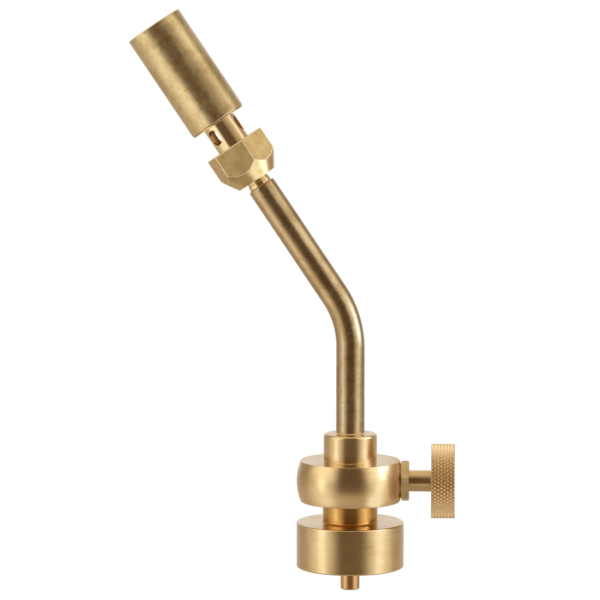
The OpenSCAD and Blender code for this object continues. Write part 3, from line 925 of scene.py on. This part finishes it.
def make_nipple():
    shank = TUBE_BORE_R - HAIR
    outline = [(NIPPLE_BORE_R, NIPPLE_LOW), (shank, NIPPLE_LOW), (shank, 0), (NIPPLE_RIM_R, 0),
               (NIPPLE_RIM_R, NIPPLE_RIM_TOP, NIPPLE_RIM_ROUND),
               (NIPPLE_NECK_R, NIPPLE_NECK_FROM, FINE_ROUND / 2),
               (NIPPLE_NECK_R, NUT_FROM), (shank, NUT_FROM), (shank, NIPPLE_TOP),
               (JET_R + HAIR, NIPPLE_TOP), (JET_R + HAIR, JET_LOW), (NIPPLE_BORE_R, JET_LOW)]
    obj = spin("nipple", outline)
    piece(shade(obj), ON_BURNER, "burner", MATERIALS["bright"], "brass_turned", "tube_nipple")


def make_burner_nut():
    nut = prism("nut", hex_corners(NUT_AF, HEAD_TURN), NUT_FROM, NUT_TO)
    # The bevel's new faces take the second material, a painted highlight along the edges
    for material in (MATERIALS["hex"], MATERIALS["edge"]):
        nut.data.materials.append(material)
    bevel(nut, NUT_EDGE)
    tall = NUT_TO - NUT_FROM + PAST / 2
    top = NUT_FROM + tall
    cone = spin("cone", [(0, NUT_FROM), (NUT_CONE_R, NUT_FROM),
                         (NUT_CONE_R + NUT_CONE_RISE * tall, top), (0, top)], segments=256)
    boolean(nut, cone, "INTERSECT")
    low, high = NUT_FROM - PAST, NUT_TO + PAST
    bore = spin("bore", [(0, low), (NUT_BORE_R, low), (NUT_BORE_R, NIPPLE_TOP),
                         (JET_R, NIPPLE_TOP), (JET_R, MIX_FROM), (MIX_R, MIX_FROM),
                         (MIX_R, high), (0, high)])
    boolean(nut, bore, "DIFFERENCE")
    bevel(nut, NUT_EDGE / 2, angle=15)
    piece(shade(nut), ON_BURNER, "burner", MATERIALS["hex"], "brass_hex", "burner_nut")


def slot_corners(width, length, steps=12):
    """A slot's outline with round ends, long way along y."""
    r, half = width / 2, (length - width) / 2
    angles = [math.pi * k / steps for k in range(steps + 1)]
    top = [(r * math.cos(a), half + r * math.sin(a)) for a in angles]
    return top + [(-x, -y) for x, y in top]


def cut_round(obj, corners, count, height):
    """Cuts evenly spaced holes from the axis outwards at a height, the first at the head's turn."""
    quarter = math.radians(90)
    lie = Matrix.Rotation(quarter, 4, "Y") @ Matrix.Rotation(quarter, 4, "Z")
    for angle in circle(count, HEAD_TURN):
        tool = prism("cutter", corners, *SLOT_TOOL)
        lift = Matrix.Translation((0, 0, height * MM))
        tool.data.transform(Matrix.Rotation(angle, 4, "Z") @ lift @ lie)
        boolean(obj, tool, "DIFFERENCE")


def make_mixing_tube():
    outline = [(MIX_BORE_R, MIX_FROM), (MIX_R, MIX_FROM), (MIX_R, HOLDER_TO, ROUND),
               (MIX_BORE_R, HOLDER_TO, ROUND)]
    obj = spin("mixer", outline)
    cut_round(obj, slot_corners(SLOT_W, SLOT_L), SLOT_COUNT, SLOT_MID)
    cut_round(obj, slot_corners(2 * FEED_R, 2 * FEED_R + HAIR / 10), FEED_COUNT, FEED_T)
    bevel(obj, FINE_ROUND / 2, segments=2)
    piece(shade(obj), ON_BURNER, "burner", MATERIALS["mixer"], "brass_polished", "mixing_tube")


def make_rear_ring():
    low, seat, top = FLAME_FROM, FLAME_FROM + FLANGE_H, FLAME_FROM + RING_H
    outline = [(MIX_R, low, RING_BORE_ROUND), (FLANGE_R, low, ROUND),
               (FLANGE_R, seat, FLANGE_SEAT_ROUND), (FLAME_BORE_R, seat), (FLAME_BORE_R, top),
               (MIX_R, top)]
    obj = spin("back_ring", outline)
    piece(shade(obj), ON_BURNER, "burner", MATERIALS["turned"], "brass_turned", "rear_ring")


def make_flame_holder():
    outline = [(MIX_R, HOLDER_FROM), (FLAME_BORE_R, HOLDER_FROM),
               (FLAME_BORE_R, HOLDER_TO, ROUND), (MIX_R, HOLDER_TO, ROUND)]
    obj = spin("pilot_ring", outline)
    middle = (MIX_R + FLAME_BORE_R) / 2
    for a in circle(PILOT_COUNT):
        x, y = middle * math.cos(a), middle * math.sin(a)
        hole = [(x + PILOT_R * math.cos(b), y + PILOT_R * math.sin(b))
                for b in circle(PILOT_SIDES)]
        boolean(obj, prism("pilot", hole, HOLDER_FROM - PAST, HOLDER_TO + PAST), "DIFFERENCE")
    piece(shade(obj), ON_BURNER, "burner", MATERIALS["turned"], "brass_turned", "flame_holder")


def make_flame_tube():
    low = FLAME_FROM + FLANGE_H
    outline = [(FLAME_BORE_R, low), (FLAME_R, low, FLAME_REAR_ROUND),
               (FLAME_R, FLAME_TO, FLAME_MOUTH_ROUND),
               (FLAME_BORE_R, FLAME_TO, FLAME_INNER_ROUND)]
    obj = spin("flame_shell", outline, segments=192)
    piece(shade(obj), ON_BURNER, "burner", MATERIALS["flame"], "brass_tube", "flame_tube")


# ---------------------------------------------------------------------------
# Small CAD pieces that only need their finish
# ---------------------------------------------------------------------------
CAD_FINISH = {
    "inlet_filter": ("sinter", "sintered_bronze"), "jet_filter": ("sinter", "sintered_bronze"),
    "gland_washer": ("steel", "steel"), "gland_packing": ("ptfe", "ptfe"),
    "gland_follower": ("turned", "brass_turned"), "valve_needle": ("steel", "steel"),
    "knob_screw": ("steel", "steel"), "nipple_braze": ("braze", "braze"),
    "gas_jet": ("bright", "brass_turned"),
}


def finish_cad_pieces():
    for node, (material, slot) in CAD_FINISH.items():
        obj = frame["nodes"][node]
        obj.data.materials.clear()
        obj.data.materials.append(MATERIALS[material])


# ---------------------------------------------------------------------------
# Studio: a pale room with a dark card in front, soft lights on both sides and three near cards
# ---------------------------------------------------------------------------
# Light fades in and out over four azimuths, then over four elevations, in degrees.
# Azimuth 0 is the front, and positive is to its right.
SURROUND_LOW = (0.60, 0.555, 0.50)
SURROUND_HIGH = (0.43, 0.41, 0.39)
SURROUND_CHANGE = (-28, 6)
CEILING = (0.85, 0.83, 0.80)
CEILING_CHANGE = (35, 65)
BACKDROP = (0.88, 0.89, 0.93)
BACKDROP_CHANGE = (130, 170)
BACKDROP_UP = (-18, 0, 45, 75)
DARK = (0.14, 0.10, 0.071)
DARK_ACROSS, DARK_UP = (-60, -20, 20, 60), (-33, -10, 32, 64)
WHITE = (1, 1, 1, 1)
SOFT_LIGHTS = (
    ((-116, -66, -58, -16), (-120, -100, 45, 75), (1.00, 1.02, 1.04)),
    ((28, 66, 78, 114), (-120, -100, 45, 75), (1.06, 1.08, 1.10)),
    ((-108, -68, -54, -20), (-4, 16, 45, 75), (1.38, 1.42, 1.50)),
    ((24, 62, 82, 116), (-6, 12, 45, 75), (1.38, 1.44, 1.54)),
    ((-80, -66, -54, -30), (-120, -100, -36, -22), (1.22, 1.30, 1.40)),
    ((38, 58, 72, 94), (-120, -100, -34, -18), (1.55, 1.90, 2.70)),
    ((54, 64, 72, 84), (-60, -30, 20, 45), (1.32, 1.48, 1.78)),
    ((-76, -65, -58, -48), (-22, -8, 4, 20), (1.50, 1.75, 2.10)),
    ((62, 72, 80, 92), (2, 9, 15, 24), (2.20, 2.90, 4.50)),
)

# Each near card: the place it is near, azimuth, elevation, distance, half its width and height,
# and the light at its left and at its right.
FLAME_MIDDLE = ON_BURNER @ Vector((0, 0, (FLAME_FROM + FLAME_TO) / 2 * MM))
BEND_MIDDLE = bend_point(LEAN / 2) * MM
NEAR_CARDS = {
    "low_card": (FLAME_MIDDLE, -36, -26, 0.10, (0.039, 0.032),
                 (1.32, 1.40, 1.52), (1.32, 1.40, 1.52)),
    "bend_card": (BEND_MIDDLE, 86, 8, 0.10, (0.036, 0.040),
                  (2.30, 3.10, 4.80), (2.30, 3.10, 4.80)),
    "high_card": (FLAME_MIDDLE, 58, 24, 0.12, (0.065, 0.042),
                  (0.30, 0.24, 0.17), (0.85, 0.78, 0.72)),
}
CARD_FULL, CARD_RUN = 0.5, 0.6      # shares of half the card

FLOOR_Z = -0.075
FLOOR_R = 0.10
FLOOR_SIDES = 96
FLOOR_TONE = (0.54, 0.49, 0.44, 1)
FLOOR_ROUGH = 0.5


def make_world():
    """The room and its lights by direction, and plain white behind the object."""
    world = bpy.data.worlds.new("studio")
    bpy.context.scene.world = world
    world.use_nodes = True
    world.node_tree.nodes.clear()
    g = Nodes(world.node_tree)

    def rise(value, low, high):
        return g.smooth_rise(value, math.radians(low), math.radians(high))

    def window(value, start, full, fade, end):
        gone = g.maths("SUBTRACT", 1.0, rise(value, fade, end))
        return g.maths("MULTIPLY", rise(value, start, full), gone)

    ray = g.split(g.coordinates("Generated"))
    azimuth = g.maths("ARCTAN2", ray[0], g.maths("MULTIPLY", ray[1], -1.0))
    elevation = g.maths("ARCSINE", ray[2])
    light = g.mix(rise(elevation, *SURROUND_CHANGE), SURROUND_LOW, SURROUND_HIGH)
    light = g.mix(rise(elevation, *CEILING_CHANGE), light, CEILING)
    behind = rise(g.maths("ABSOLUTE", azimuth), *BACKDROP_CHANGE)
    light = g.mix(g.maths("MULTIPLY", behind, window(elevation, *BACKDROP_UP)), light, BACKDROP)
    for across, up, colour in ((DARK_ACROSS, DARK_UP, DARK), *SOFT_LIGHTS):
        share = g.maths("MULTIPLY", window(azimuth, *across), window(elevation, *up))
        light = g.mix(share, light, colour)
    lit = g.node("ShaderNodeBackground", {0: light, 1: 1.0})
    seen = g.node("ShaderNodeBackground", {0: WHITE, 1: 1.0})
    camera_ray = g.node("ShaderNodeLightPath").outputs["Is Camera Ray"]
    both = g.node("ShaderNodeMixShader", {0: camera_ray, 1: lit.outputs[0], 2: seen.outputs[0]})
    g.node("ShaderNodeOutputWorld", {0: both.outputs[0]})


def make_card(name, centre, azimuth, elevation, distance, half, near, far):
    """A soft-edged card close to the part, whose light runs from one colour to another."""
    data = bpy.data.meshes.new(name)
    across, up = half
    corners = [(-across, -up, 0), (across, -up, 0), (across, up, 0), (-across, up, 0)]
    data.from_pydata(corners, [], [[0, 1, 2, 3]])
    card = link(bpy.data.objects.new(name, data))
    way = direction(math.radians(azimuth), math.radians(elevation))
    card.location = centre + way * distance
    card.rotation_mode = "QUATERNION"
    card.rotation_quaternion = way.to_track_quat("Z", "Y")
    card.visible_camera = False
    card.visible_shadow = False
    g = Graph(name)
    x, y, _ = g.split(g.coordinates("Object"))

    def fade(value, reach):
        return g.smooth_rise(g.maths("ABSOLUTE", value), reach, reach * CARD_FULL)

    share = g.maths("MULTIPLY", fade(x, across), fade(y, up))
    colour = g.mix(g.rise(x, -across * CARD_RUN, across * CARD_RUN), near, far)
    shine = g.node("ShaderNodeEmission", {0: colour, 1: 1.0})
    clear = g.node("ShaderNodeBsdfTransparent")
    both = g.node("ShaderNodeMixShader", {0: share, 1: clear.outputs[0], 2: shine.outputs[0]})
    g.tree.links.new(both.outputs[0], g.tree.nodes["Material Output"].inputs[0])
    data.materials.append(g.material)


def make_floor():
    corners = [(FLOOR_R * math.cos(a), FLOOR_R * math.sin(a), FLOOR_Z)
               for a in circle(FLOOR_SIDES)]
    data = bpy.data.meshes.new("floor")
    data.from_pydata(corners, [], [list(range(FLOOR_SIDES))])
    floor = link(bpy.data.objects.new("floor", data))
    g = Graph("pale_floor")
    data.materials.append(g.set(Base_Color=FLOOR_TONE, Roughness=FLOOR_ROUGH))


def make_studio():
    make_world()
    for name, settings in NEAR_CARDS.items():
        make_card(name, *settings)
    make_floor()
    scene = bpy.context.scene
    scene.view_settings.view_transform = "Standard"
    scene.view_settings.look = "None"


# ---------------------------------------------------------------------------
# Everything, in order
# ---------------------------------------------------------------------------
add_camera()
make_coupling()
make_probe()
make_gasket()
make_valve_body()
make_gland_nut()
make_stem()
make_knob()
make_gas_tube()
make_tube_braze()
make_nipple()
make_burner_nut()
make_mixing_tube()
make_rear_ring()
make_flame_holder()
make_flame_tube()
finish_cad_pieces()
make_studio()
